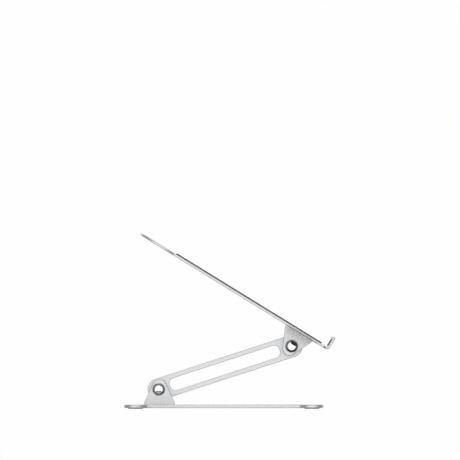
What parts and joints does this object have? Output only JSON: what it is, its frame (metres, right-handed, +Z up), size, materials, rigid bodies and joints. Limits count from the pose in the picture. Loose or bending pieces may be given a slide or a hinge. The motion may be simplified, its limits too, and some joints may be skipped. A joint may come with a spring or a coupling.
{
  "type": "laptop stand",
  "caption": "Folding aluminium laptop stand: flat base plate, slotted arms on friction pivots, and a sloping tray with front hooks and silicone strips.",
  "frame": {"origin": "on the table, under the middle of the stand's whole length and width at rest", "axes": "+X to the front, where the hooks are, +Y to the left, +Z up"},
  "size_m": [0.2496, 0.256, 0.208],
  "materials": {
    "anodised_aluminium": "bead-blasted and silver anodised, satin",
    "polished_bolt": "mirror polished",
    "fastener_steel": "zinc-nickel plated, satin",
    "friction_washer": "lapped bronze",
    "foot_silicone": "matt grey silicone",
    "pad_silicone": "matt dark grey silicone"
  },
  "bodies": {
    "base": {"base_plate": "anodised_aluminium", "foot_front_left": "foot_silicone", "foot_front_right": "foot_silicone", "foot_rear_left": "foot_silicone", "foot_rear_right": "foot_silicone", "base_bracket_left": "anodised_aluminium", "base_bracket_right": "anodised_aluminium", "base_bracket_screws_left": "fastener_steel", "base_bracket_screws_right": "fastener_steel", "lower_bolt_left": "polished_bolt", "lower_bolt_right": "polished_bolt", "lower_friction_washer_left": "friction_washer", "lower_friction_washer_right": "friction_washer", "lower_plain_washer_left": "fastener_steel", "lower_plain_washer_right": "fastener_steel", "lower_spring_washer_left": "fastener_steel", "lower_spring_washer_right": "fastener_steel", "lower_lock_nut_left": "fastener_steel", "lower_lock_nut_right": "fastener_steel"},
    "arms": {"arm_left": "anodised_aluminium", "arm_right": "anodised_aluminium"},
    "tray": {"tray_plate": "anodised_aluminium", "tray_bracket_left": "anodised_aluminium", "tray_bracket_right": "anodised_aluminium", "tray_bracket_screws_left": "fastener_steel", "tray_bracket_screws_right": "fastener_steel", "upper_bolt_left": "polished_bolt", "upper_bolt_right": "polished_bolt", "upper_friction_washer_left": "friction_washer", "upper_friction_washer_right": "friction_washer", "upper_plain_washer_left": "fastener_steel", "upper_plain_washer_right": "fastener_steel", "upper_spring_washer_left": "fastener_steel", "upper_spring_washer_right": "fastener_steel", "upper_lock_nut_left": "fastener_steel", "upper_lock_nut_right": "fastener_steel", "tray_pad_left": "pad_silicone", "tray_pad_right": "pad_silicone", "hook_pad_left": "pad_silicone", "hook_pad_right": "pad_silicone"}
  },
  "joints": [
    {"name": "arm_lift", "type": "hinge", "parent": "base", "child": "arms", "pos_m": [-0.08349, 0, 0.023], "axis": [0, -1, 0], "range_deg": [-18, 27]},
    {"name": "tray_tilt", "type": "hinge", "parent": "arms", "child": "tray", "pos_m": [0.07343, 0, 0.07399], "axis": [0, 1, 0], "range_deg": [-49.6, 10.4]}
  ]
}
